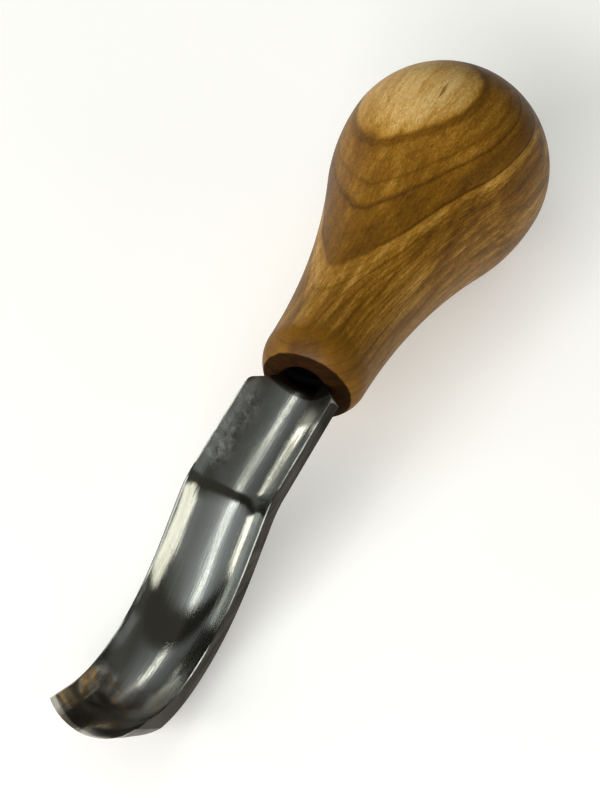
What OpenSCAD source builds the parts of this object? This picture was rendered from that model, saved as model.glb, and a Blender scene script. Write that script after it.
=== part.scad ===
// Bent gouge with a turned palm handle, lying on its back on a bench with the
// hollow of the blade facing up. +X points along the tool towards the cutting
// edge, +Z is up, and the bench is the plane z = 0. Millimetres.
//
// Everything is drawn along the handle's own axis first, with x = 0 at the
// handle's front face. The module lie_down() then tips the tool until bulb and
// heel both touch the bench.

/* [Handle] */
// Length of the handle from its front face to the end of the bulb
handle_len = 80; // [72:0.1:92]
// Widest diameter of the bulb
bulb_d = 36.7; // [32:0.1:42]
// Diameter of the neck at its slimmest, behind the rounded nose
neck_d = 18.2; // [17:0.1:20]
// Share of the curve between bulb and neck that swells outwards
swell_share = 0.24; // [0.15:0.01:0.4]
// Length of the rounded nose between the neck and the front face
nose_len = 5.7; // [5.5:0.1:7.5]
// Diameter of the flat front face inside the rounded nose
face_d = 10.3; // [10:0.1:13.5]

/* [Bore] */
// Diameter of the hole drilled for the tang
bore_d = 8.2; // [8:0.1:9]
// Depth of the hole drilled for the tang
bore_len = 46; // [40:0.5:52]
// Chamfer round the mouth of the hole
bore_chamfer = 0.4; // [0.2:0.1:0.4]
// How far the bedding stays back from the mouth of the hole
bedding_set_back = 3.5; // [2:0.5:8]
// Room left between the tang's corners and the wall of the hole
tang_clearance = 0.15; // [0.05:0.05:0.4]

/* [Channel] */
// Width of the hollow from rim to rim, the size the tool is sold by
edge_w = 14; // [12:0.5:16]
// Depth of the hollow below its rims
hollow_depth = 3.5; // [2.5:0.1:4.2]
// Thickness of the steel under the hollow
wall_t = 2.2; // [1.6:0.1:2.8]
// Width of the narrow flat along the top of each rim
rim_land = 0.2; // [0.1:0.05:0.5]
// Lean of the outer sides away from upright, in degrees
side_lean = 20; // [12:1:28]

/* [Sweep] */
// Height of the hollow's floor above the handle's axis, beside the handle
floor_rise = 1.8; // [1:0.1:2.2]
// Dip of the shank below the handle's axis, in degrees
shank_dip = 3; // [0:0.5:6]
// Distance from the front face to the start of the crank
shank_reach = 27.2; // [22:0.1:34]
// Radius of the floor in the crank
crank_r = 4.5; // [3.5:0.5:8]
// Steepness of the stretch below the crank, in degrees
drop_angle = 35.5; // [28:0.5:42]
// Length of the straight stretch below the crank
drop_len = 8.2; // [4:0.1:14]
// Radius of the floor where the blade levels out
heel_r = 32; // [24:1:44]
// Length of the level stretch at the bottom of the blade
level_len = 1; // [0.6:0.2:5]
// Radius of the floor where the blade sweeps up again
toe_r = 36.5; // [28:0.5:50]
// Rise of the blade at the cutting edge, in degrees
toe_angle = 30; // [22:1:38]
// Length of the straight stretch behind the cutting edge
toe_len = 8.5; // [5:0.5:14]

/* [Edge] */
// Angle of the bevel ground on the outside, in degrees
bevel_angle = 12; // [10:1:24]
// Thickness left at the cutting edge
edge_t = 0.06; // [0.04:0.01:0.2]

/* [Shoulders and tang] */
// Distance from the front face to the corner of the +Y shoulder
shoulder_gap = 4.8; // [3.5:0.1:6.5]
// How much further along the -Y shoulder has its corner, as ground by hand
shoulder_skew = 1.1; // [0:0.1:2.5]
// Slope of the shoulders, measured from the rims, in degrees
shoulder_angle = 42; // [36:1:55]
// Radius of the rounded corner between shoulder and rim
shoulder_r = 4; // [2:0.5:6]
// Width of the tang where it enters the handle
tang_w = 6.4; // [5.5:0.1:6.6]
// Thickness of the tang where it enters the handle
tang_t = 3; // [2.6:0.1:3.4]
// Length of the tang inside the handle
tang_len = 43; // [34:0.5:45]
// Width of the tang at its end
tang_tip_w = 4; // [2.5:0.1:5]
// Thickness of the tang at its end
tang_tip_t = 2; // [1.5:0.1:2.5]

/* [Hidden] */
$fn = 128;
long_fn = 360;          // for the long sweeps of handle and blade
big = 4 * bulb_d;       // larger than anything it cuts

// Handle: ogee of two arcs, level at the bulb's widest place and at the neck
bulb_r = bulb_d / 2;
neck_r = neck_d / 2;
bulb_x = -(handle_len - bulb_r);
ogee_len = -bulb_x - nose_len;
ogee_drop = bulb_r - neck_r;
ogee_r = (pow(ogee_len, 2) + pow(ogee_drop, 2)) / (2 * ogee_drop);
swell_r = ogee_r * swell_share;
hollow_neck_r = ogee_r - swell_r;
ogee_angle = 2 * atan(ogee_drop / ogee_len);
join_x = bulb_x + swell_r * sin(ogee_angle);
nose_drop = neck_r - face_d / 2;
nose_r = (pow(nose_len, 2) + pow(nose_drop, 2)) / (2 * nose_drop);

// Channel: the floor's radius follows from its width and depth
floor_r = (pow(edge_w / 2, 2) + pow(hollow_depth, 2)) / (2 * hollow_depth);
rim_half = edge_w / 2 + rim_land;
skirt = hollow_depth + wall_t + 1;   // the leaning sides run past the bottom

// Floor line in the plane of the tool: each station is [x, z]
function along(p, a, l) = p + l * [cos(a), sin(a)];
function swing(p, a, b, r) = p + sign(b - a) * r * ([-sin(a), cos(a)] - [-sin(b), cos(b)]);
channel_x = -1;         // the channel starts just inside the bore
floor_0 = [channel_x, floor_rise - channel_x * tan(shank_dip)];
shank_len = (shank_reach - channel_x) / cos(shank_dip);
floor_1 = along(floor_0, -shank_dip, shank_len);
floor_2 = swing(floor_1, -shank_dip, -drop_angle, crank_r);
floor_3 = along(floor_2, -drop_angle, drop_len);
floor_4 = swing(floor_3, -drop_angle, 0, heel_r);
floor_5 = along(floor_4, 0, level_len);
floor_6 = swing(floor_5, 0, toe_angle, toe_r);
floor_7 = along(floor_6, toe_angle, toe_len);

// The straight stretches are a hair slimmer than the bends and run into them
join_slim = 0.06;
join_lap = 0.15;

// The shoulders are ground square to the flank between the tang's side and the rim
rim_side = asin(edge_w / 2 / floor_r);
tang_side = asin(tang_w / 2 / floor_r);
flank_tilt = (rim_side + tang_side) / 2;
function up_flank(y, z) = y * cos(flank_tilt) + z * sin(flank_tilt);
flank_rim = up_flank(edge_w / 2, hollow_depth);
flank_rise = flank_rim - up_flank(tang_w / 2, floor_r * (1 - cos(tang_side)));
run_out = 8;            // the rounded corner leaves the rim at this small angle

// Rest on the bench: the swell's lower arc and the toe's outside share a tangent
swell_c = [bulb_x, swell_r - bulb_r];
toe_c = floor_5 + [0, toe_r];
span = toe_c - swell_c;
reach_gap = (toe_r + wall_t) - swell_r;
lie_angle = asin(-reach_gap / norm(span)) + atan2(span[1], span[0]);
function tipped(p) = [p[0] * cos(lie_angle) + p[1] * sin(lie_angle),
                      -p[0] * sin(lie_angle) + p[1] * cos(lie_angle)];
bench_z = tipped(swell_c)[1] - swell_r;
rear_x = tipped([bulb_x, 0])[0] - bulb_r;
front_x = tipped(floor_7)[0];
mid_x = (rear_x + front_x) / 2;

module lie_down()
  translate([-mid_x, 0, -bench_z]) rotate([0, lie_angle, 0]) children();

// Puts a shape drawn round the Z axis onto the tool's axis, +Z towards the edge
module on_axis() rotate([0, 90, 0]) children();

module handle_outline() {
  // bulb: half a disc behind the widest place
  intersection() {
    translate([0, bulb_x]) circle(bulb_r, $fn = long_fn);
    translate([0, bulb_x - big]) square([big, big]);
  }
  // swell between the widest place and the turn of the ogee
  intersection() {
    translate([bulb_r - swell_r, bulb_x]) circle(swell_r, $fn = long_fn);
    translate([0, bulb_x]) square([big, join_x - bulb_x]);
  }
  // hollowed neck
  difference() {
    translate([0, join_x]) square([bulb_r, -nose_len - join_x]);
    translate([neck_r + hollow_neck_r, -nose_len]) circle(hollow_neck_r, $fn = 2 * long_fn);
  }
  // rounded nose down to the flat of the front face
  translate([0, -nose_len]) difference() {
    square([neck_r, nose_len]);
    translate([neck_r - nose_r, 0]) difference() {
      square([nose_r + 1, nose_r]);
      circle(nose_r);
    }
  }
}

module handle() color("peru") lie_down() on_axis() difference() {
  rotate_extrude($fn = 180) handle_outline();
  translate([0, 0, -bore_len]) cylinder(h = bore_len + 1, d = bore_d);
  translate([0, 0, -bore_chamfer])
    cylinder(h = bore_chamfer + 0.01, d1 = bore_d, d2 = bore_d + 2 * bore_chamfer);
}

// Section across the blade, floor of the hollow at the origin, open side up
module channel_section(slim = 0) difference() {
  intersection() {
    translate([0, floor_r]) circle(floor_r + wall_t - slim);
    translate([0, hollow_depth - slim]) polygon([
      [-rim_half + slim, 0], [rim_half - slim, 0],
      [rim_half - slim + skirt * tan(side_lean), -skirt],
      [-rim_half + slim - skirt * tan(side_lean), -skirt]
    ]);
  }
  translate([0, floor_r]) circle(floor_r + slim);
}

// Local frame on the floor line: +X forward along the blade, +Z out of the hollow
module at_station(p, heading) translate([p[0], 0, p[1]]) rotate([0, -heading, 0]) children();

// The three moves of the blade. Each one leaves its children at its far end.
module straight(len, laps = [1, 1]) {
  translate([-join_lap * laps[0], 0, 0]) rotate([90, 0, 90])
    linear_extrude(len + join_lap * (laps[0] + laps[1])) channel_section(join_slim);
  translate([len, 0, 0]) children();
}

module sweep_up(turn, r) {
  translate([0, 0, r]) rotate([90, 90, 0])
    rotate_extrude(angle = turn, $fn = long_fn) translate([r, 0]) rotate(90) channel_section();
  translate([0, 0, r]) rotate([0, -turn, 0]) translate([0, 0, -r]) children();
}

module sweep_down(turn, r) {
  translate([0, 0, -r]) rotate([-90, -90, 0])
    rotate_extrude(angle = turn, $fn = long_fn) translate([r, 0]) rotate(-90) channel_section();
  translate([0, 0, -r]) rotate([0, turn, 0]) translate([0, 0, r]) children();
}

module channel()
  at_station(floor_0, -shank_dip) straight(shank_len, [0, 1])
  sweep_down(drop_angle - shank_dip, crank_r) straight(drop_len)
  sweep_up(drop_angle, heel_r) straight(level_len)
  sweep_up(toe_angle, toe_r) straight(toe_len, [1, 0]);

// What is ground off one flank, corner of shoulder and rim at the origin: x runs
// along the rim towards the edge, y up the flank
module flank_waste() {
  lead = shoulder_r * tan((shoulder_angle - run_out) / 2);
  slope = [cos(shoulder_angle), sin(shoulder_angle)];
  leave = [cos(run_out), sin(run_out)];
  centre = lead * leave + shoulder_r * [sin(run_out), -cos(run_out)];
  far = 2 * edge_w;
  polygon([
    [0, 0], 6 * leave, [6, far], [-far, far], [-far, -flank_rise], -flank_rise / slope[1] * slope
  ]);
  difference() {
    polygon([[0, 0], -lead * slope, centre, lead * leave]);
    translate(centre) circle(shoulder_r);
  }
}

// Cut away beside the tang: what is left are the two sloping shoulders
module shoulder_waste() for (side = [0, 1]) {
  gap = shoulder_gap + side * shoulder_skew;
  at_station([gap, floor_rise - gap * tan(shank_dip)], -shank_dip) mirror([0, side, 0])
    rotate([flank_tilt, 0, 0]) translate([0, flank_rim, -wall_t - 4]) linear_extrude(wall_t + 7) flank_waste();
}

// Bevel: all that stands outside a cone round the hollow's own axis goes
module bevel_waste() at_station(floor_7, toe_angle) difference() {
  translate([-3 * toe_len, -edge_w, -toe_r / 2]) cube([3 * toe_len + 1, 2 * edge_w, toe_r]);
  translate([-3 * toe_len - 1, 0, floor_r]) rotate([0, 90, 0])
    cylinder(h = 3 * toe_len + 3,
             r1 = floor_r + join_slim + edge_t + (3 * toe_len + 1) * tan(bevel_angle),
             r2 = floor_r + join_slim + edge_t - 2 * tan(bevel_angle));
}

// Tang: tapers from the side and in plan, and fades into the shank's underside
module tang() {
  fade_z = floor_rise - shoulder_gap * tan(shank_dip) - wall_t + 0.1;
  intersection() {
    translate([0, tang_w, 0]) rotate([90, 0, 0]) linear_extrude(2 * tang_w) polygon([
      [-tang_len, tang_tip_t / 2], [-tang_len, -tang_tip_t / 2], [0, -tang_t / 2],
      [shoulder_gap, fade_z], [shoulder_gap, fade_z + wall_t / 2], [0, tang_t / 2]
    ]);
    translate([0, 0, -bore_d]) linear_extrude(2 * bore_d) polygon([
      [-tang_len, -tang_tip_w / 2], [0, -tang_w / 2], [shoulder_gap, -tang_w / 2],
      [shoulder_gap, tang_w / 2], [0, tang_w / 2], [-tang_len, tang_tip_w / 2]
    ]);
  }
}

// Corners of the tang that would rub in the bore
module bore_waste() on_axis() translate([0, 0, -tang_len - 1]) difference() {
  cylinder(h = tang_len + 1.3, r = bore_d);
  translate([0, 0, -1]) cylinder(h = tang_len + 4, r = bore_d / 2 - tang_clearance);
}

module blade_body() difference() {
  union() {
    difference() {
      channel();
      shoulder_waste();
      bevel_waste();
    }
    tang();
  }
  bore_waste();
}

module blade() color("silver") lie_down() blade_body();

// Set resin that fills the bore round the tang
module tang_bedding() color("tan") lie_down() difference() {
  on_axis() translate([0, 0, -bore_len]) cylinder(h = bore_len - bedding_set_back, d = bore_d);
  blade_body();
}

handle();
blade();
tang_bedding();
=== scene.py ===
import bpy, bmesh, math
from mathutils import Matrix, Vector


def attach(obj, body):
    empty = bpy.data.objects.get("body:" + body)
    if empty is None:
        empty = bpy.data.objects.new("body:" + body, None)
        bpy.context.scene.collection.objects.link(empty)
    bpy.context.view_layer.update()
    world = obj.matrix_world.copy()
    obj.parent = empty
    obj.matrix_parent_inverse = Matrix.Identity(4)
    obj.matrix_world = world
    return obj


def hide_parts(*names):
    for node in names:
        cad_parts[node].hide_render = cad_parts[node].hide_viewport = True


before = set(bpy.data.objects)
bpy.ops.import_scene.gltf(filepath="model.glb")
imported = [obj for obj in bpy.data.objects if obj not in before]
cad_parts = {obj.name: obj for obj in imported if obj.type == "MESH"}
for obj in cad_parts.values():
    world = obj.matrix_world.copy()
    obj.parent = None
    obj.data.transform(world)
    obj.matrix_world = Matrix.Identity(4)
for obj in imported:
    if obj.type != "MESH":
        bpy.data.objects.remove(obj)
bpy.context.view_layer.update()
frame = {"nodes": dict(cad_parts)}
print("frame loaded:", ", ".join(frame["nodes"]))

# Sizes are millimetres and degrees along the handle's own axis, with x = 0 at its front face
handleSize = {
    "length": 80.0, "bulbWidth": 36.7, "neckWidth": 18.2, "swellShare": 0.24,
    "noseLength": 5.7, "faceWidth": 10.3,
    "boreWidth": 8.2, "boreDepth": 46.0, "boreChamfer": 0.4,
    "turns": 160, "arcSteps": 56, "noseSteps": 20, "mergeGap": 0.002,
}
bladeSize = {
    "edgeWidth": 14.0, "hollowDepth": 3.5, "wall": 2.2, "rimLand": 0.2, "sideLean": 20.0,
    "startX": -1.0, "floorRise": 1.8, "shankDip": 3.0, "shankReach": 26.327,
    "crankRadius": 7.5,       # wider than the frame's own bend, about the same corner
    "dropAngle": 35.5, "dropLength": 7.326, "heelRadius": 32.0, "levelLength": 1.0,
    "toeRadius": 36.5, "toeAngle": 30.0, "toeLength": 8.5,
    "bevelAngle": 12.0, "edgeThickness": 0.06,
    "shoulderGap": 4.8, "shoulderSkew": 1.1, "shoulderAngle": 42.0, "shoulderRadius": 4.0,
    "runOut": 8.0, "runOutLength": 6.0,
    "polishedFacing": 0.42,   # a face that looks up more than this is in the hollow
    "hollowSteps": 72, "backSteps": 48, "shoulderSteps": 12, "bevelSteps": 360,
    "shankSteps": 60, "crankSteps": 30, "dropSteps": 14, "heelSteps": 40, "levelSteps": 2,
    "toeBendSteps": 36, "toeSteps": 16, "sectionMergeGap": 0.001, "mergeGap": 0.0005, "sharpAngle": 24.0,
}
tangSize = {
    "width": 6.4, "thickness": 3.0, "length": 43.0, "tipWidth": 4.0, "tipThickness": 2.0,
    "bite": 0.1,              # how far it reaches into the channel's floor
}
millimetre = 0.001            # in metres, Blender's unit
stripScale = 0.1              # the strip's flat pattern is in centimetres
creaseAngle = 30.0            # edges that turn more stay crisp


def rad(degrees):
    return math.radians(degrees)


# The handle's profile: half a ball, a swell and a hollow that meet, then a round nose
bulbR = handleSize["bulbWidth"] / 2
neckR = handleSize["neckWidth"] / 2
bulbX = -(handleSize["length"] - bulbR)
ogeeLength = -bulbX - handleSize["noseLength"]
ogeeDrop = bulbR - neckR
ogeeR = (ogeeLength ** 2 + ogeeDrop ** 2) / (2 * ogeeDrop)
swellR = ogeeR * handleSize["swellShare"]
hollowNeckR = ogeeR - swellR
ogeeAngle = 2 * math.atan(ogeeDrop / ogeeLength)
noseDrop = neckR - handleSize["faceWidth"] / 2
noseR = (handleSize["noseLength"] ** 2 + noseDrop ** 2) / (2 * noseDrop)


def upOf(heading):
    return Vector((-math.sin(rad(heading)), 0, math.cos(rad(heading))))


def forwardOf(heading):
    return Vector((math.cos(rad(heading)), 0, math.sin(rad(heading))))


def floorPath():
    # floor line of the hollow: its first point, its first heading, and its straights and bends
    b = bladeSize
    dip = rad(b["shankDip"])
    point = Vector((b["startX"], 0, b["floorRise"] - b["startX"] * math.tan(dip)))
    moves = [   # kind, length or radius, turn, steps
        ("straight", (b["shankReach"] - b["startX"]) / math.cos(dip), 0, b["shankSteps"]),
        ("bend", b["crankRadius"], -(b["dropAngle"] - b["shankDip"]), b["crankSteps"]),
        ("straight", b["dropLength"], 0, b["dropSteps"]),
        ("bend", b["heelRadius"], b["dropAngle"], b["heelSteps"]),
        ("straight", b["levelLength"], 0, b["levelSteps"]),
        ("bend", b["toeRadius"], b["toeAngle"], b["toeBendSteps"]),
        ("straight", b["toeLength"], 0, b["toeSteps"]),
    ]
    return point, -b["shankDip"], moves


def afterMove(point, heading, move):
    # where a straight or a bend ends, its heading there, and the centre of a bend
    kind, size, turn, steps = move
    if kind == "straight":
        return point + forwardOf(heading) * size, heading, None
    side = 1 if turn > 0 else -1
    centre = point + upOf(heading) * size * side
    heading += turn
    return centre - upOf(heading) * size * side, heading, centre


def pathEnds():
    # corner points of the floor line, with the heading at each
    point, heading, moves = floorPath()
    ends = [(point, heading)]
    for move in moves:
        point, heading, centre = afterMove(point, heading, move)
        ends.append((point, heading))
    return ends


# Where the tool lies: bulb and heel both touch the bench
ends = pathEnds()
toeEnd, toeHeading = ends[-1]
levelEnd = ends[-3][0]        # where the heel's level run stops and the toe starts to rise
toeCentre = levelEnd + Vector((0, 0, bladeSize["toeRadius"]))
swellCentre = Vector((bulbX, 0, swellR - bulbR))
span = toeCentre - swellCentre
reachGap = bladeSize["toeRadius"] + bladeSize["wall"] - swellR
lieAngle = math.asin(-reachGap / span.length) + math.atan2(span.z, span.x)
tip = Matrix.Rotation(lieAngle, 4, "Y")
benchZ = (tip @ swellCentre).z - swellR
rearX = (tip @ Vector((bulbX, 0, 0))).x - bulbR
frontX = (tip @ toeEnd).x
lieDown = Matrix.Scale(millimetre, 4) @ Matrix.Translation((-(rearX + frontX) / 2, 0, -benchZ)) @ tip
print("lies down by", round(math.degrees(lieAngle), 3), "degrees")


def dot(bm, x, y, z):
    return bm.verts.new((x, y, z))


def drawTo(bm, vert, x, y, z):
    new = bmesh.ops.extrude_vert_indiv(bm, verts=[vert])["verts"][0]
    new.co = (x, y, z)
    return new


def drawArc(bm, vert, centre, axis, degrees, steps):
    made = bmesh.ops.spin(bm, geom=[vert], cent=centre, axis=axis, dvec=(0, 0, 0),
                          angle=rad(degrees), steps=steps, use_duplicate=False)
    return [v for v in made["geom_last"] if isinstance(v, bmesh.types.BMVert)][0]


def turnAround(bm, steps):
    # one full turn of the drawn profile about the handle's axis
    bmesh.ops.spin(bm, geom=bm.verts[:] + bm.edges[:], cent=(0, 0, 0), axis=(1, 0, 0), dvec=(0, 0, 0),
                   angle=rad(360), steps=steps, use_merge=True)


def shadeSmooth(mesh, sharpAngle):
    for face in mesh.polygons:
        face.use_smooth = True
    mesh.set_sharp_from_angle(angle=rad(sharpAngle))


def finishMesh(bm, name, laidDown=False):
    bmesh.ops.recalc_face_normals(bm, faces=bm.faces)
    if laidDown:
        bmesh.ops.transform(bm, matrix=lieDown, verts=bm.verts)
    mesh = bpy.data.meshes.new(name)
    bm.to_mesh(mesh)
    bm.free()
    shadeSmooth(mesh, creaseAngle)
    piece = bpy.data.objects.new(name, mesh)
    bpy.context.scene.collection.objects.link(piece)
    return piece


def cutWith(piece, cutter, operation):
    # carries out one boolean and keeps the result as the piece's mesh
    change = piece.modifiers.new(operation.lower(), "BOOLEAN")
    change.operation = operation
    change.object = cutter
    change.solver = "EXACT"
    graph = bpy.context.evaluated_depsgraph_get()
    graph.update()
    made = bpy.data.meshes.new_from_object(piece.evaluated_get(graph))
    piece.modifiers.remove(change)
    piece.data = made
    bpy.data.objects.remove(cutter)


def buildHandle():
    h = handleSize
    boreR = h["boreWidth"] / 2
    lip = boreR + h["boreChamfer"]
    noseAngle = math.asin(h["noseLength"] / noseR)
    upright = (0, 1, 0)
    bm = bmesh.new()
    v = dot(bm, -h["length"], 0, 0)
    v = drawArc(bm, v, (bulbX, 0, 0), upright, 90, h["arcSteps"])
    v = drawArc(bm, v, (bulbX, 0, bulbR - swellR), upright, math.degrees(ogeeAngle), h["arcSteps"] // 2)
    v = drawArc(bm, v, (-h["noseLength"], 0, neckR + hollowNeckR), upright,
                -math.degrees(ogeeAngle), h["arcSteps"])
    v = drawArc(bm, v, (-h["noseLength"], 0, neckR - noseR), upright,
                math.degrees(noseAngle), h["noseSteps"])
    v = drawTo(bm, v, 0, 0, lip)
    v = drawTo(bm, v, -h["boreChamfer"], 0, boreR)
    v = drawTo(bm, v, -h["boreDepth"], 0, boreR)
    drawTo(bm, v, -h["boreDepth"], 0, 0)
    turnAround(bm, h["turns"])
    bmesh.ops.remove_doubles(bm, verts=bm.verts, dist=h["mergeGap"])
    return finishMesh(bm, "handleTurned", laidDown=True)


def drawSection(bm):
    # the channel's section, drawn in the plane x = 0 with the floor at the origin
    b = bladeSize
    half, depth = b["edgeWidth"] / 2, b["hollowDepth"]
    floorR = (half ** 2 + depth ** 2) / (2 * depth)
    backR = floorR + b["wall"]
    rim = half + b["rimLand"]
    lean = math.tan(rad(b["sideLean"]))
    # where the leaning side meets the round back
    qa, qb = 1 + lean ** 2, 2 * (rim * lean + floorR - depth)
    qc = rim ** 2 + (floorR - depth) ** 2 - backR ** 2
    drop = (-qb + math.sqrt(qb ** 2 - 4 * qa * qc)) / (2 * qa)
    cornerY, cornerZ = rim + drop * lean, depth - drop
    hollowHalf = math.degrees(math.asin(half / floorR))
    backHalf = math.degrees(math.atan2(cornerY, floorR - cornerZ))
    centre = (0, 0, floorR)
    v = dot(bm, 0, half, depth)
    v = drawArc(bm, v, centre, (1, 0, 0), -2 * hollowHalf, b["hollowSteps"])
    v = drawTo(bm, v, 0, -rim, depth)
    v = drawTo(bm, v, 0, -cornerY, cornerZ)
    v = drawArc(bm, v, centre, (1, 0, 0), 2 * backHalf, b["backSteps"])
    v = drawTo(bm, v, 0, rim, depth)
    drawTo(bm, v, 0, half, depth)
    bmesh.ops.remove_doubles(bm, verts=bm.verts, dist=b["sectionMergeGap"])
    return floorR


def unrollStrip(bm, ring, runs):
    # flat pattern of the channel: across and along, in centimetres
    uv = bm.loops.layers.uv.new("strip")
    bm.verts.index_update()
    for face in bm.faces:
        for corner in face.loops:
            run = runs[min(corner.vert.index // ring, len(runs) - 1)]
            corner[uv].uv = (corner.vert.co.y * stripScale, run * stripScale)


def buildChannel():
    bm = bmesh.new()
    floorR = drawSection(bm)
    point, heading, moves = floorPath()
    place = Matrix.Translation(point) @ Matrix.Rotation(rad(-heading), 4, "Y")
    bmesh.ops.transform(bm, matrix=place, verts=bm.verts)
    bm.verts.index_update()
    ring = len(bm.verts)
    loop = bm.edges[:]
    bmesh.ops.contextual_create(bm, geom=loop)   # rear end of the channel
    runs, run = [0.0], 0.0
    for move in moves:
        kind, size, turn, steps = move
        nextPoint, nextHeading, centre = afterMove(point, heading, move)
        if kind == "straight":
            length = size
            for i in range(steps):
                made = bmesh.ops.extrude_edge_only(bm, edges=loop)["geom"]
                verts = [g for g in made if isinstance(g, bmesh.types.BMVert)]
                edges = [g for g in made if isinstance(g, bmesh.types.BMEdge)]
                loop = [e for e in edges if all(v in verts for v in e.verts)]
                bmesh.ops.translate(bm, verts=verts, vec=forwardOf(heading) * size / steps)
        else:
            length = size * rad(abs(turn))
            loopVerts = list(dict.fromkeys(v for e in loop for v in e.verts))   # each once, in order
            made = bmesh.ops.spin(bm, geom=loopVerts + loop, cent=centre, axis=(0, 1, 0), dvec=(0, 0, 0),
                                  angle=rad(-turn), steps=steps, use_duplicate=False)["geom_last"]
            loop = [g for g in made if isinstance(g, bmesh.types.BMEdge)]
        for i in range(steps):
            run += length / steps
            runs.append(run)
        point, heading = nextPoint, nextHeading
    bmesh.ops.contextual_create(bm, geom=loop)   # end face, ground away by the bevel
    bmesh.ops.recalc_face_normals(bm, faces=bm.faces)
    unrollStrip(bm, ring, runs)
    return finishMesh(bm, "bladeForged"), floorR


def shoulderCutter(side, floorR):
    # what is ground off one flank, drawn square to it: corner of shoulder and rim at the origin
    b = bladeSize
    half, tangHalf, corner = b["edgeWidth"] / 2, tangSize["width"] / 2, b["shoulderRadius"]
    under, over = 4, 3        # how far the waste stands past both faces of the wall
    tangSide = math.asin(tangHalf / floorR)
    tilt = (math.asin(half / floorR) + tangSide) / 2
    rimUp = half * math.cos(tilt) + b["hollowDepth"] * math.sin(tilt)
    rise = rimUp - tangHalf * math.cos(tilt) - floorR * (1 - math.cos(tangSide)) * math.sin(tilt)
    slope, leave, far = rad(b["shoulderAngle"]), rad(b["runOut"]), 2 * b["edgeWidth"]
    lead = corner * math.tan((slope - leave) / 2)
    centre = (lead * math.cos(leave) + corner * math.sin(leave),
              lead * math.sin(leave) - corner * math.cos(leave), 0)
    out = b["runOutLength"]
    bm = bmesh.new()
    v = dot(bm, -far, -rise, 0)
    v = drawTo(bm, v, -rise / math.tan(slope), -rise, 0)
    v = drawTo(bm, v, -lead * math.cos(slope), -lead * math.sin(slope), 0)
    v = drawArc(bm, v, centre, (0, 0, 1), b["runOut"] - b["shoulderAngle"], b["shoulderSteps"])
    for x, y in ((out * math.cos(leave), out * math.sin(leave)), (out, far), (-far, far)):
        v = drawTo(bm, v, x, y, 0)
    base = bm.faces.new(bm.verts[:])
    made = bmesh.ops.extrude_face_region(bm, geom=[base])["geom"]
    top = [g for g in made if isinstance(g, bmesh.types.BMVert)]
    bmesh.ops.translate(bm, verts=top, vec=(0, 0, b["wall"] + (under + over)))
    gap = b["shoulderGap"] + (b["shoulderSkew"] if side < 0 else 0)
    dip = rad(b["shankDip"])
    place = Matrix.Translation((gap, 0, b["floorRise"] - gap * math.tan(dip)))
    place = place @ Matrix.Rotation(dip, 4, "Y")
    if side < 0:
        place = place @ Matrix.Scale(-1, 4, (0, 1, 0))
    place = place @ Matrix.Rotation(tilt, 4, "X") @ Matrix.Translation((0, rimUp, -b["wall"] - under))
    bmesh.ops.transform(bm, matrix=place, verts=bm.verts)
    return finishMesh(bm, "shoulderWaste")


def bevelCutter(floorR):
    # a thick ring whose cone-shaped bore is what the blade's end is ground down to
    b = bladeSize
    slope = math.tan(rad(b["bevelAngle"]))
    back, front, outer = -3 * b["toeLength"], 1.0, 22.0   # the ring's ends and its outer radius
    edge = floorR + b["edgeThickness"]
    bm = bmesh.new()
    first = dot(bm, back, 0, -(edge - back * slope))
    v = drawTo(bm, first, front, 0, -(edge - front * slope))
    v = drawTo(bm, v, front, 0, -outer)
    v = drawTo(bm, v, back, 0, -outer)
    bm.edges.new((v, first))
    turnAround(bm, b["bevelSteps"])
    atToe = Matrix.Translation(toeEnd) @ Matrix.Rotation(rad(-toeHeading), 4, "Y")
    place = atToe @ Matrix.Translation((0, 0, floorR))
    bmesh.ops.transform(bm, matrix=place, verts=bm.verts)
    return finishMesh(bm, "bevelWaste")


def buildTang():
    b, t = bladeSize, tangSize
    fadeZ = b["floorRise"] - b["shoulderGap"] * math.tan(rad(b["shankDip"])) - b["wall"] + t["bite"]
    stops = [   # place along, half width, underside, top
        (-t["length"], t["tipWidth"] / 2, -t["tipThickness"] / 2, t["tipThickness"] / 2),
        (0, t["width"] / 2, -t["thickness"] / 2, t["thickness"] / 2),
        (b["shoulderGap"], t["width"] / 2, fadeZ, fadeZ + b["wall"] / 2),
    ]
    bm = bmesh.new()
    x, w, low, high = stops[0]
    face = bm.faces.new([dot(bm, x, y, z) for y, z in ((-w, low), (w, low), (w, high), (-w, high))])
    for i, (x, w, low, high) in enumerate(stops[1:]):
        last = face
        made = bmesh.ops.extrude_face_region(bm, geom=[face])["geom"]
        face = [g for g in made if isinstance(g, bmesh.types.BMFace)][0]
        if i > 0:
            bmesh.ops.delete(bm, geom=[last], context="FACES_ONLY")   # no wall left inside the bar
        for v in face.verts:
            v.co = (x, math.copysign(w, v.co.y), high if v.co.z > 0 else low)
    return finishMesh(bm, "tangDrawn")


def forgeBlade():
    # the channel with its shoulders and bevel ground and its tang drawn out
    piece, floorR = buildChannel()
    for side in (-1, 1):
        cutWith(piece, shoulderCutter(side, floorR), "DIFFERENCE")
    cutWith(piece, bevelCutter(floorR), "DIFFERENCE")
    cutWith(piece, buildTang(), "UNION")
    bm = bmesh.new()
    bm.from_mesh(piece.data)
    bmesh.ops.remove_doubles(bm, verts=bm.verts, dist=bladeSize["mergeGap"])
    openEdges = sum(1 for e in bm.edges if not e.is_manifold)
    for face in bm.faces:
        # the hollow is polished, the outside is not
        face.material_index = 0 if face.normal.z > bladeSize["polishedFacing"] else 1
    bmesh.ops.transform(bm, matrix=lieDown, verts=bm.verts)
    bm.to_mesh(piece.data)
    bm.free()
    shadeSmooth(piece.data, bladeSize["sharpAngle"])
    print("blade forged:", len(piece.data.polygons), "faces,", openEdges, "open edges")
    return piece


handlePiece = buildHandle()
print("handle turned:", len(handlePiece.data.polygons), "faces")
bladePiece = forgeBlade()

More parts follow.
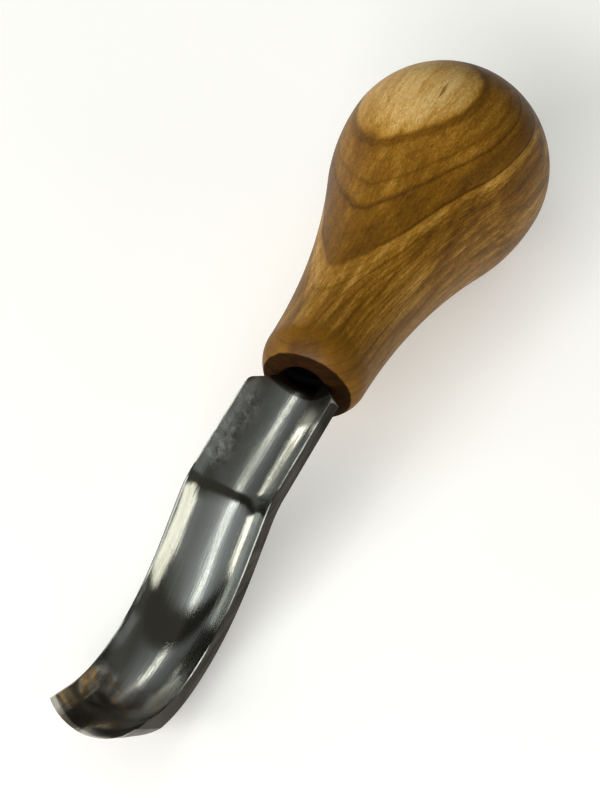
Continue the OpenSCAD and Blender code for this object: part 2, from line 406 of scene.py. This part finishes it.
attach(handlePiece, "root")
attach(bladePiece, "root")
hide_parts("handle")
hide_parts("blade")


class Wire:
    # an output socket of a shader tree; arithmetic on it adds Math nodes
    def __init__(self, tree, socket=None):
        self.tree, self.socket = tree, socket

    def node(self, kind, settings=None, sockets=None, out=0):
        made = self.tree.nodes.new(kind)
        for key, value in (settings or {}).items():
            if key == "stops":
                ramp = made.color_ramp
                ramp.elements.remove(ramp.elements[1])
                for i, (place, colour) in enumerate(value):
                    stop = ramp.elements[0] if i == 0 else ramp.elements.new(place)
                    stop.position, stop.color = place, colour
            else:
                setattr(made, key, value)
        for key, value in (sockets or {}).items():
            if isinstance(value, Wire):
                self.tree.links.new(value.socket, made.inputs[key])
            else:
                made.inputs[key].default_value = value
        return Wire(self.tree, made.outputs[out] if made.outputs else None)

    def of(self, out):
        return Wire(self.tree, self.socket.node.outputs[out])

    def maths(self, operation, other=0.0, swap=False):
        pair = (other, self) if swap else (self, other)
        return self.node("ShaderNodeMath", {"operation": operation}, {0: pair[0], 1: pair[1]})

    def vectors(self, operation, *others, out=0):
        sockets = dict(enumerate((self, *others)))
        return self.node("ShaderNodeVectorMath", {"operation": operation}, sockets, out)

    def length(self):
        return self.vectors("LENGTH", out="Value")

    def near(self, place, low, high):
        # 1 within low of a place, 0 past high from it
        return (self - place).maths("ABSOLUTE").fall(low, high)

    def rise(self, low, high):
        return self.node("ShaderNodeMapRange", {"interpolation_type": "SMOOTHSTEP"},
                         {"Value": self, "From Min": low, "From Max": high, "To Min": 0.0, "To Max": 1.0})

    def fall(self, low, high):
        return 1.0 - self.rise(low, high)

    def blend(self, first, second):
        # this wire is the share of the second colour
        return self.node("ShaderNodeMix", {"data_type": "RGBA"}, {0: self, 6: first, 7: second}, out=2)

    def ramp(self, stops):
        return self.node("ShaderNodeValToRGB", {"stops": stops}, {0: self})

    def noise(self, scale, detail=2.0, roughness=0.5, out=0):
        # noise stretched along each axis of this wire's coordinates
        spot = self.node("ShaderNodeMapping", {}, {"Vector": self, "Scale": scale})
        return self.node("ShaderNodeTexNoise", {}, {
            "Vector": spot, "Scale": 1.0, "Detail": detail, "Roughness": roughness}, out)

    def __add__(self, other):
        return self.maths("ADD", other)

    def __radd__(self, other):
        return self.maths("ADD", other, True)

    def __sub__(self, other):
        return self.maths("SUBTRACT", other)

    def __rsub__(self, other):
        return self.maths("SUBTRACT", other, True)

    def __mul__(self, other):
        return self.maths("MULTIPLY", other)

    def __rmul__(self, other):
        return self.maths("MULTIPLY", other, True)

    def __truediv__(self, other):
        return self.maths("DIVIDE", other)

    def __rtruediv__(self, other):
        return self.maths("DIVIDE", other, True)


def newTree(block):
    block.use_nodes = True
    block.node_tree.nodes.clear()
    return Wire(block.node_tree)


def linear(r, g, b):
    # an 8-bit screen colour as the shader's linear one
    parts = [v / 255 for v in (r, g, b)]
    return tuple(v / 12.92 if v <= 0.04045 else ((v + 0.055) / 1.055) ** 2.4 for v in parts) + (1,)


def grey(v):
    return (v, v, v, 1)


def moved(wire, matrix):
    return wire.node("ShaderNodeMapping", {"vector_type": "POINT"}, {
        "Vector": wire, "Location": matrix.to_translation(), "Rotation": matrix.to_euler(),
        "Scale": matrix.to_scale()})


def toolCoordinates(start):
    # the piece's own coordinates, in millimetres along the handle's axis
    return moved(start.node("ShaderNodeTexCoord", out="Object"), lieDown.inverted())


# A pair is the start and the end of a soft edge, and a noise is its scale, detail and roughness
woodLook = {
    "pithPoint": (-60.0, 16.1, -43.0), "pithYaw": -4.7, "pithPitch": 0.74, "sway": 2.6,
    # distances from the pith: marked lines, the years' gap, the bold inner years and the plain cap
    "thinLine": 54.05, "midLine": 57.0, "wideLine": 61.2, "yearGap": 1.45, "finePerYear": 3.0,
    "thinEdge": (0.06, 0.24), "midEdge": (0.08, 0.30), "wideEdge": (0.15, 0.55), "fineEdge": (0.30, 0.5),
    "innerYears": (52.5, 54.5), "capEdge": (61.4, 61.9), "bandStart": 46.0, "bandSpan": 18.0,
    "wander": ((0.02, 0.07, 0.07), 3.0), "field": ((0.03, 0.16, 0.16), 4.0),
    "streaks": ((0.04, 0.8, 0.8), 4.0, 0.6), "fibre": ((0.16, 2.4, 2.4), 4.0, 0.65),
    "speck": ((1.3, 3.4, 3.4), 3.0, 0.7), "pores": ((0.55, 5.0, 5.0), 1.0), "poreEdge": (0.60, 0.72),
    # places on the handle, in its own millimetres
    "plainNose": (-8.0, -3.0), "fineEnd": (-16.0, -7.0), "thinEnd": (-34.0, -21.0), "darkNose": (-8.0, -1.5),
    "slit": (-59.5, -0.7, 18.4), "slitTurn": 5.0, "slitScale": (0.40, 3.4, 1.0), "slitEdge": (0.4, 1.0),
    "endNoise": ((0.4, 0.35, 1.6), 4.0, 0.65), "endEdge": (-1.98, -1.72), "endSlant": 0.18,
    "endShare": 0.96,
    "boreSide": (4.25, 4.5), "boreMouth": (-0.5, -0.2), "boreBottom": (-47.0, -46.5),
    "dark": linear(70, 43, 6), "mid": linear(106, 71, 13), "golden": linear(134, 96, 31),
    "light": linear(162, 124, 58), "pale": linear(190, 160, 104),
    # boreColour is painted shade for the inside of the bore
    "endGrain": linear(36, 18, 5), "endDark": linear(17, 8, 3), "boreColour": linear(9, 6, 4),
    "roughness": 0.46, "refraction": 1.21, "endRoughness": 0.8, "endGloss": 0.02,
    "bumpStrength": 0.3, "bumpDepth": 0.12 * millimetre,
}
# how dark one year is from its start to its end
yearShape = [(0.0, 1.0), (0.08, 0.3), (0.24, 0.06), (0.7, 0.0), (0.9, 0.35), (1.0, 1.0)]
# how light the wood is by distance from the pith, from bandStart over bandSpan, with a painted sheen in the
# raised stops at 0.41 and 0.44, and the pale end from 0.88 a worn pale cap with a painted sheen on it
woodTonesAndSheen = [
    (0.0, 0.58), (0.16, 0.54), (0.28, 0.40), (0.36, 0.46), (0.41, 0.66), (0.44, 0.60), (0.46, 0.33),
    (0.56, 0.36), (0.64, 0.46), (0.78, 0.46), (0.83, 0.42), (0.88, 0.68), (0.96, 0.88),
]
offAxis = (0, 1, 1)           # keeps what lies across the x axis


def woodMaterial():
    look = woodLook
    material = bpy.data.materials.new("oiledWood")
    start = newTree(material)
    place = toolCoordinates(start)
    pith = Matrix.Rotation(rad(look["pithYaw"]), 4, "Z") @ Matrix.Rotation(-rad(look["pithPitch"]), 4, "Y")
    grain = moved(place, pith.inverted() @ Matrix.Translation(-Vector(look["pithPoint"])))
    spot = place.node("ShaderNodeSeparateXYZ", {}, {0: place})
    along = spot.of("X")
    # distance from the pith of the tree, with a slow wander
    sway = look["sway"]
    wander = grain.noise(*look["wander"], out=1)
    pull = wander.vectors("MULTIPLY_ADD", (0, sway, sway), (0, -sway / 2, -sway / 2))
    radius = grain.vectors("ADD", pull).vectors("MULTIPLY", offAxis).length()
    field, streaks = grain.noise(*look["field"]), grain.noise(*look["streaks"])
    fibre, speck = grain.noise(*look["fibre"]), grain.noise(*look["speck"])
    pores = grain.noise(*look["pores"]).rise(*look["poreEdge"])
    # years: thin dark lines, each with its own strength, and finer ones between them
    phase = (radius - look["thinLine"]) / look["yearGap"]
    year = (phase + 0.5).maths("FLOOR")
    strength = 0.15 + 0.6 * start.node("ShaderNodeTexWhiteNoise", {"noise_dimensions": "1D"}, {"W": year})
    line = phase.maths("FRACT").ramp([(at, grey(v)) for at, v in yearShape])
    finePhase = (phase * look["finePerYear"]).maths("FRACT")
    fineLine = (finePhase - 0.5).maths("ABSOLUTE").rise(*look["fineEdge"])
    body = along.fall(*look["plainNose"]) * 0.75 + 0.25   # the nose is plainer
    inner, uncapped = radius.fall(*look["innerYears"]), radius.fall(*look["capEdge"])
    rings = line * strength * (0.1 + field * 1.2) * (0.15 + uncapped * 0.85 + inner * 0.35)
    fine = fineLine * streaks * (0.1 + inner * 0.7) * (along.fall(*look["fineEnd"]) * 0.7 + 0.3)
    wide = radius.near(look["wideLine"], *look["wideEdge"])
    middle = radius.near(look["midLine"], *look["midEdge"])
    thin = radius.near(look["thinLine"], *look["thinEdge"])
    rings = rings + fine + wide * (0.1 + field * 0.7) + middle * field * 0.7
    rings = rings + thin * (0.25 + streaks) * (0.2 + along.fall(*look["thinEnd"]) * 0.8)
    # tone from dark to pale, painted sheen included, and the colour that goes with it
    tonesAndSheen = ((radius - look["bandStart"]) / look["bandSpan"]).ramp([(at, grey(v)) for at, v in woodTonesAndSheen])
    tone = tonesAndSheen + (field - 0.5) * 0.75 + (streaks - 0.5) * body * (0.5 + inner * 0.7)
    tone = tone + (fibre - 0.5) * body * 0.35 + (speck - 0.5) * body * 0.55
    tone = tone - rings * 0.30 - along.rise(*look["darkNose"]) * 0.20
    colour = tone.ramp([
        (0.12, look["dark"]), (0.42, look["mid"]), (0.60, look["golden"]), (0.78, look["light"]),
        (0.98, look["pale"])])
    colour = (pores * 0.45).blend(colour, look["dark"])
    # a small slit in the pale cap
    slitSpot = start.node("ShaderNodeMapping", {"vector_type": "POINT"}, {
        "Vector": place.vectors("SUBTRACT", look["slit"]), "Rotation": (0, 0, rad(look["slitTurn"])),
        "Scale": look["slitScale"]})
    slit = slitSpot.length().fall(*look["slitEdge"])
    colour = (slit * 0.7).blend(colour, look["dark"])
    bump = start.node("ShaderNodeBump", {}, {
        "Strength": look["bumpStrength"], "Distance": look["bumpDepth"],
        "Height": fibre * 0.5 + speck * 0.3 - pores * 0.8 - slit})
    side = start.node("ShaderNodeBsdfPrincipled", {}, {
        "Base Color": colour, "Roughness": look["roughness"] + (fibre - 0.5) * 0.2 + pores * 0.15,
        "Normal": bump, "IOR": look["refraction"]})
    # the end grain on the nose has soaked up oil and gone dark; the bore's inside is painted near-black,
    # painted shade
    fromAxis = place.vectors("MULTIPLY", offAxis).length()
    edge = along - spot.of("Z") * look["endSlant"] + (streaks - 0.5) * 0.4
    endTone = place.noise(*look["endNoise"]).rise(0.3, 0.75).blend(look["endDark"], look["endGrain"])
    inside = fromAxis.fall(*look["boreSide"]) * along.fall(*look["boreMouth"])
    inside = inside * along.rise(*look["boreBottom"])
    end = start.node("ShaderNodeBsdfPrincipled", {}, {
        "Base Color": inside.blend(endTone, look["boreColour"]), "Roughness": look["endRoughness"],
        "Normal": bump, "Specular IOR Level": look["endGloss"]})
    share = (edge.rise(*look["endEdge"]) * look["endShare"]).maths("MAXIMUM", inside)
    both = start.node("ShaderNodeMixShader", {}, {0: share, 1: side, 2: end})
    start.node("ShaderNodeOutputMaterial", {}, {"Surface": both})
    return material


# the near-black third colour of each look is painted shade and painted dark reflection, laid by the handle's
# face and in the bore
hollowLook = {
    "colour": (0.51, 0.52, 0.505, 1), "haze": (0.62, 0.65, 0.68, 1), "paintedShade": (0.010, 0.008, 0.006, 1),
    # in both looks, tan and amber are painted reflections on the toe
    "tan": (0.13, 0.10, 0.07, 1), "amber": (0.34, 0.20, 0.06, 1), "honed": (0.76, 0.75, 0.70, 1),
    "streaks": 0.0, "roughness": 0.095, "metallic": 1.0, "gloss": 0.5, "wave": 1.0,
}
outsideLook = {
    "colour": (0.018, 0.013, 0.009, 1), "haze": (0.080, 0.072, 0.060, 1), "paintedShade": (0.010, 0.008, 0.006, 1),
    "tan": (0.030, 0.020, 0.012, 1), "amber": (0.030, 0.020, 0.012, 1), "honed": (0.20, 0.19, 0.17, 1),
    "streaks": 0.7, "roughness": 0.42, "metallic": 0.15, "gloss": 0.12, "wave": 0.5,
}
steelMarks = {
    # on the tool, in millimetres
    "boreMouth": (0.0, 0.8), "shade": (3.4, 4.1), "shadeSlant": 0.17, "shadeSlantEnd": 2.5,
    "shadeTurn": 4.0, "shadeTurnSlant": 0.5, "cornerSide": (2.6, 3.8), "cornerAlong": (9.5, 12.0),
    # on the strip, in centimetres across and along it
    "hazeSide": (-0.56, -0.26), "hazeStart": (0.5, 1.0), "hazeEnd": (2.3, 2.8), "hazeCloud": (0.38, 0.74),
    "dullPlace": -0.02, "dullSide": (0.06, 0.32), "dullStart": (1.0, 1.9), "dullEnd": (2.4, 2.9),
    "toeStart": (6.3, 7.3), "veinWidth": (0.005, 0.045), "honedSlant": 0.16, "honedStart": (8.57, 8.68),
    "steepSide": (0.25, 0.6),
    # noises, as for the wood
    "lines": ((26.0, 0.9, 1.0), 5.0, 0.7), "waves": ((5.0, 0.9, 1.0), 1.0),
    "cloud": ((5.0, 3.0, 1.0), 5.0, 0.65), "veins": ((1.5, 1.1, 1.0), 3.0), "dents": ((2.0, 2.0, 1.0), 0.0),
    "streaks": ((0.08, 0.7, 0.7), 3.0, 0.6), "streakEdge": (0.35, 0.70),
    "bumpStrength": 0.5, "bumpDepth": 0.04 * millimetre,
    # painted shade for the steel inside the bore
    "boreBlack": (0.002, 0.002, 0.002, 1), "boreRoughness": 0.9,
}


def steelMaterial(name, look):
    marks = steelMarks
    material = bpy.data.materials.new(name)
    start = newTree(material)
    strip = start.node("ShaderNodeUVMap", {"uv_map": "strip"})
    spot = strip.node("ShaderNodeSeparateXYZ", {}, {0: strip})
    across, run = spot.of("X"), spot.of("Y")
    place = toolCoordinates(start)
    at = place.node("ShaderNodeSeparateXYZ", {}, {0: place})
    # painted shade: the steel inside the bore is made black and matt
    inBore = at.of("X").fall(*marks["boreMouth"])
    # painted dark reflection of the handle's face on the steel beside it, and a corner near the handle left
    # rougher and painted darker
    slant = at.of("Y").maths("MINIMUM", marks["shadeSlantEnd"]) * marks["shadeSlant"]
    turned = (at.of("Y") - marks["shadeTurn"]).maths("MAXIMUM", 0.0) * marks["shadeTurnSlant"]
    shaded = (at.of("X") - slant + turned).fall(*marks["shade"])
    roughShadedCorner = at.of("Y").rise(*marks["cornerSide"]) * at.of("X").fall(*marks["cornerAlong"])
    lines, waves = strip.noise(*marks["lines"]), strip.noise(*marks["waves"])
    cloud = strip.noise(*marks["cloud"])
    # rubbed haze by the rim of the shank, and a duller floor beside it
    rubbed = across.fall(*marks["hazeSide"]) * run.rise(*marks["hazeStart"]) * run.fall(*marks["hazeEnd"])
    rubbed = rubbed * cloud.rise(*marks["hazeCloud"])
    dull = across.near(marks["dullPlace"], *marks["dullSide"])
    dull = dull * run.rise(*marks["dullStart"]) * run.fall(*marks["dullEnd"])
    streak = place.noise(*marks["streaks"]).rise(*marks["streakEdge"])
    share = rubbed * 0.8 + (cloud - 0.4) * 0.25 + streak * look["streaks"]
    colour = share.blend(look["colour"], look["haze"])
    # the toe is painted darker and browner, a painted reflection of dim brown surroundings, with painted
    # amber reflections in thin veins and a clean honed edge
    toe = run.rise(*marks["toeStart"])
    honed = (run - across * marks["honedSlant"]).rise(*marks["honedStart"])
    vein = strip.noise(*marks["veins"]).near(0.5, *marks["veinWidth"])
    colour = (toe * (0.45 + cloud * 0.7)).blend(colour, look["tan"])
    colour = (toe * vein * 0.8).blend(colour, look["amber"])
    colour = honed.blend(colour, look["honed"])
    # painted dark reflection of the handle's nose in the corner near it
    colour = (roughShadedCorner * 0.6).blend(colour, look["paintedShade"])
    # painted dark reflection of the handle's face beside it, and painted shade over the steel in the bore
    colour = (shaded * 0.8).maths("MAXIMUM", inBore).blend(colour, look["paintedShade"])
    rough = look["roughness"] + (lines - 0.5) * 0.10 + (cloud - 0.5) * 0.07 + rubbed * 0.36
    rough = rough + dull * 0.12 + honed * 0.15 + roughShadedCorner * 0.25
    # long waves of the wheel, deeper up the sides, dents at the toe and fine polishing lines
    steep = across.maths("ABSOLUTE").rise(*marks["steepSide"])
    height = waves * (2.4 + steep * 4.0) + strip.noise(*marks["dents"]) * toe * 16.0 + lines * 1.3
    bump = start.node("ShaderNodeBump", {}, {
        "Strength": marks["bumpStrength"], "Distance": marks["bumpDepth"], "Height": height * look["wave"]})
    shader = start.node("ShaderNodeBsdfPrincipled", {}, {
        "Base Color": colour, "Metallic": (1.0 - rubbed * 0.35) * look["metallic"], "Roughness": rough,
        "Normal": bump, "Specular IOR Level": look["gloss"]})
    # the matt black finish inside the bore is painted shade
    boreShadeShader = start.node("ShaderNodeBsdfPrincipled", {}, {
        "Base Color": marks["boreBlack"], "Roughness": marks["boreRoughness"], "Specular IOR Level": 0.0})
    both = start.node("ShaderNodeMixShader", {}, {0: inBore, 1: shader, 2: boreShadeShader})
    start.node("ShaderNodeOutputMaterial", {}, {"Surface": both})
    return material


resinLook = {
    "grit": ((900.0, 900.0, 900.0), 3.0), "dark": linear(18, 13, 9), "light": linear(34, 25, 17),
    "roughness": 0.8, "gloss": 0.05, "bumpStrength": 0.3, "bumpDepth": 0.1 * millimetre,
}


def resinMaterial():
    look = resinLook
    material = bpy.data.materials.new("setResin")
    start = newTree(material)
    grit = start.node("ShaderNodeTexCoord", out="Object").noise(*look["grit"])
    bump = start.node("ShaderNodeBump", {}, {
        "Strength": look["bumpStrength"], "Distance": look["bumpDepth"], "Height": grit})
    shader = start.node("ShaderNodeBsdfPrincipled", {}, {
        "Base Color": grit.ramp([(0.3, look["dark"]), (0.7, look["light"])]), "Roughness": look["roughness"],
        "Normal": bump, "Specular IOR Level": look["gloss"]})
    start.node("ShaderNodeOutputMaterial", {}, {"Surface": shader})
    return material


def wear(piece, *materials):
    slots = piece.data.materials
    for i, material in enumerate(materials):
        if i < len(slots):
            slots[i] = material
        else:
            slots.append(material)


wear(handlePiece, woodMaterial())
wear(bladePiece, steelMaterial("polishedHollow", hollowLook), steelMaterial("darkOutside", outsideLook))
wear(frame["nodes"]["tang_bedding"], resinMaterial())
print("materials made")

floorLook = {"size": 3.0, "colour": (0.84, 0.84, 0.83, 1), "roughness": 0.9, "gloss": 0.1, "glow": 0.28}


def buildFloor():
    look = floorLook
    bm = bmesh.new()
    bmesh.ops.create_grid(bm, x_segments=1, y_segments=1, size=look["size"])
    mesh = bpy.data.meshes.new("paleFloor")
    bm.to_mesh(mesh)
    bm.free()
    floor = bpy.data.objects.new("paleFloor", mesh)
    bpy.context.scene.collection.objects.link(floor)
    material = bpy.data.materials.new("palePaper")
    start = newTree(material)
    shader = start.node("ShaderNodeBsdfPrincipled", {}, {
        "Base Color": look["colour"], "Roughness": look["roughness"], "Specular IOR Level": look["gloss"],
        "Emission Color": (1, 1, 1, 1), "Emission Strength": look["glow"]})
    start.node("ShaderNodeOutputMaterial", {}, {"Surface": shader})
    mesh.materials.append(material)


# How bright each part of the room is, and the four tints of its light
roomLook = {
    "shade": 0.052, "shadeLeft": 0.03, "front": 0.04, "frontFar": 0.10, "frontLeft": 0.08,
    "rear": 0.015, "rearLeft": 0.08, "corner": 0.16, "lowRight": 0.02, "beside": 0.12,
    "haloFront": 1.0, "haloRear": 0.5, "tubeFront": 1.25, "tubeRear": 2.0,
    "window": 1.8, "bar": 0.5, "sideLamp": 3.6, "slot": 3.4, "slotLow": 4.0, "bench": 0.30,
    "warm": (1.0, 0.975, 0.80), "cool": (0.95, 1.0, 1.0), "dim": (1.0, 0.97, 0.74),
    "brown": (1.0, 0.50, 0.16),
}
# Where its lights and walls are. On the ceiling places are u, which is x / z, and v, which is y / z.
# At the sides x is measured against y, and so is z for the window, the wall beside it and the corner.
# A pair is the start and the end of a soft edge.
roomPlan = {
    "ceilingFrom": (0.12, 0.34), "frontFrom": (-0.05, 0.02), "rearTo": (-0.66, -0.61),
    "shadeLeftTo": (-0.6, -0.35), "farFrom": (0.05, 0.5), "frontLeftTo": (-1.2, -0.6),
    "rearLeftTo": (-0.1, 0.9),
    "frontTube": -0.43, "frontTubeEdge": (0.04, 0.10), "frontTubeEnd": (0.62, 0.70), "frontHalo": 18.0,
    "rearTube": -0.33, "rearTubeAt": -1.34, "rearTubeSkew": 0.1, "rearTubeEdge": (0.04, 0.09),
    "rearTubeStart": (-1.55, -1.35), "rearTubeEnd": (-0.70, -0.62), "rearHalo": 25.0,
    "rightWall": (0.3, 0.5), "windowStart": (-0.24, -0.16), "windowEnd": (0.30, 0.50),
    "windowSill": (0.05, 0.18), "windowTop": (0.52, 0.69), "barHeight": 0.37, "barEdge": (0.02, 0.07),
    "besideStart": (0.15, 0.35), "besideEnd": (0.6, 0.9), "besideTop": (0.7, 1.2),
    "cornerStart": (-1.0, -0.75), "cornerEnd": (-0.60, -0.50), "cornerTop": (0.5, 0.75),
    "lowRightWall": (0.2, 0.4), "lowRightEnd": (-1.0, -0.7), "lowRightTop": (0.45, 0.6),
    "leftWall": (-0.8, -0.6), "sideLampStart": (-0.36, -0.26), "sideLampTop": (0.25, 0.40),
    "slotWall": (-0.6, -0.5), "slotPlace": -0.80, "slotEdge": (0.06, 0.13), "slotTop": (0.24, 0.34),
    "slotLowStart": (-1.25, -1.10), "slotLowEnd": (-0.90, -0.84), "slotLowTop": (0.16, 0.26),
    "benchEnd": (-0.9, -0.75), "benchHeight": 0.09, "benchEdge": (0.03, 0.09),
}


def buildRoom():
    # what the polished steel mirrors: two tubes in the ceiling, a window and a wall at the right,
    # and three low lamps at the left
    look, plan = roomLook, roomPlan
    world = bpy.data.worlds.new("room")
    bpy.context.scene.world = world
    start = newTree(world)
    d = start.node("ShaderNodeTexCoord", out="Generated")
    d = start.node("ShaderNodeSeparateXYZ", {}, {0: d})
    x, y, z = d.of("X"), d.of("Y"), d.of("Z")
    ceiling = z.maths("MAXIMUM", 0.06)
    u, v = x / ceiling, y / ceiling              # where the direction meets a ceiling one unit up
    right, left = y.maths("MAXIMUM", 0.05), (y * -1.0).maths("MAXIMUM", 0.05)
    rightX, rightZ, leftX = x / right, z / right, x / left
    # the ceiling before and behind the tool
    above = z.rise(*plan["ceilingFrom"])
    front, rear = u.rise(*plan["frontFrom"]) * above, u.fall(*plan["rearTo"]) * above
    shade = look["shade"] - v.fall(*plan["shadeLeftTo"]) * above * look["shadeLeft"]
    far, frontLeft = u.rise(*plan["farFrom"]), v.fall(*plan["frontLeftTo"])
    air = front * (look["front"] + far * look["frontFar"] + frontLeft * look["frontLeft"])
    air = air + rear * (look["rear"] + v.fall(*plan["rearLeftTo"]) * look["rearLeft"])
    # tubes with a glow about them
    fromFront = v - plan["frontTube"]
    fromRear = v - plan["rearTube"] + (u - plan["rearTubeAt"]) * plan["rearTubeSkew"]
    tubeFront = front * u.fall(*plan["frontTubeEnd"]) * fromFront.near(0.0, *plan["frontTubeEdge"])
    tubeRear = u.rise(*plan["rearTubeStart"]) * u.fall(*plan["rearTubeEnd"])
    tubeRear = tubeRear * fromRear.near(0.0, *plan["rearTubeEdge"])
    # the right side: a window with a bar, the wall beside it and the corner behind
    wall = y.rise(*plan["rightWall"])
    window = wall * rightX.rise(*plan["windowStart"]) * rightX.fall(*plan["windowEnd"])
    window = window * rightZ.rise(*plan["windowSill"]) * rightZ.fall(*plan["windowTop"])
    window = window * (1.0 - rightZ.near(plan["barHeight"], *plan["barEdge"]) * look["bar"])
    beside = wall * rightX.rise(*plan["besideStart"]) * rightX.fall(*plan["besideEnd"])
    beside = beside * rightZ.fall(*plan["besideTop"])
    corner = wall * rightX.fall(*plan["cornerEnd"]) * rightX.rise(*plan["cornerStart"])
    corner = corner * rightZ.fall(*plan["cornerTop"])
    lowRight = y.rise(*plan["lowRightWall"]) * rightX.fall(*plan["lowRightEnd"])
    lowRight = lowRight * z.fall(*plan["lowRightTop"])
    air = air + beside * look["beside"] + corner * look["corner"] + lowRight * look["lowRight"]
    air = air + front * look["haloFront"] / (1.0 + fromFront * fromFront * plan["frontHalo"])
    air = air + rear * look["haloRear"] / (1.0 + fromRear * fromRear * plan["rearHalo"])
    # the left side: a lamp, a slot of light and a lower one
    side = y.fall(*plan["leftWall"]) * (leftX - z).rise(*plan["sideLampStart"])
    side = side * z.fall(*plan["sideLampTop"])
    slotWall = y.fall(*plan["slotWall"])
    slot = slotWall * leftX.near(plan["slotPlace"], *plan["slotEdge"]) * z.fall(*plan["slotTop"])
    slotLow = slotWall * leftX.rise(*plan["slotLowStart"]) * leftX.fall(*plan["slotLowEnd"])
    slotLow = slotLow * z.fall(*plan["slotLowTop"])
    lamps = tubeFront * look["tubeFront"] + tubeRear * look["tubeRear"] + window * look["window"]
    lamps = lamps + side * look["sideLamp"] + slot * look["slot"] + slotLow * look["slotLow"]
    # warm light from the bench behind the tool
    bench = x.fall(*plan["benchEnd"]) * z.near(plan["benchHeight"], *plan["benchEdge"]) * look["bench"]
    total = None
    for tint, amount in (("dim", shade), ("cool", air), ("warm", lamps), ("brown", bench)):
        part = start.node("ShaderNodeVectorMath", {"operation": "SCALE"}, {0: look[tint], "Scale": amount})
        total = part if total is None else total.vectors("ADD", part)
    background = start.node("ShaderNodeBackground", {}, {"Color": total, "Strength": 1.0})
    start.node("ShaderNodeOutputWorld", {}, {"Surface": background})


lampLook = {
    "azimuth": -5.0, "elevation": 24.0, "distance": 1.6, "width": 1.4, "height": 0.5,
    "power": 37.0, "colour": (1.0, 0.98, 0.94),
}


def buildLamp():
    look = lampLook
    data = bpy.data.lights.new("frontSoftbox", "AREA")
    data.shape, data.size, data.size_y = "RECTANGLE", look["width"], look["height"]
    data.energy, data.color = look["power"], look["colour"]
    lamp = bpy.data.objects.new("frontSoftbox", data)
    bpy.context.scene.collection.objects.link(lamp)
    a, e = rad(look["azimuth"]), rad(look["elevation"])
    away = Vector((math.cos(a) * math.cos(e), math.sin(a) * math.cos(e), math.sin(e)))
    lamp.location = away * look["distance"]
    lamp.rotation_euler = away.to_track_quat("Z", "Y").to_euler()


# The fitted view: directions in the tool's own axes, and millimetres from the handle's face
cameraView = {
    "view": (0.67559, 0.25216, 0.69281), "right": (-0.39516, 0.91717, 0.05152),
    "down": (0.62243, 0.30858, -0.71927),
    "distance": 671.0, "offRight": 0.4065, "offDown": -1.935, "lens": 185.7, "sensor": 36.0,
    "nearest": 0.01, "farthest": 20,
}


def buildCamera():
    # laid down together with the tool
    look = cameraView
    view, right, down = (Vector(look[k]) for k in ("view", "right", "down"))
    data = bpy.data.cameras.new("camera")
    data.sensor_width, data.lens = look["sensor"], look["lens"]
    data.clip_start, data.clip_end = look["nearest"], look["farthest"]
    camera = bpy.data.objects.new("camera", data)
    bpy.context.scene.collection.objects.link(camera)
    eye = -look["offRight"] * right - look["offDown"] * down + look["distance"] * view
    camera.location = lieDown @ eye
    camera.rotation_euler = (tip @ Matrix((right, -down, view)).transposed().to_4x4()).to_euler()
    bpy.context.scene.camera = camera


buildFloor()
buildRoom()
buildLamp()
buildCamera()
bpy.context.scene.view_settings.view_transform = "Standard"
print("stage, light and camera set")
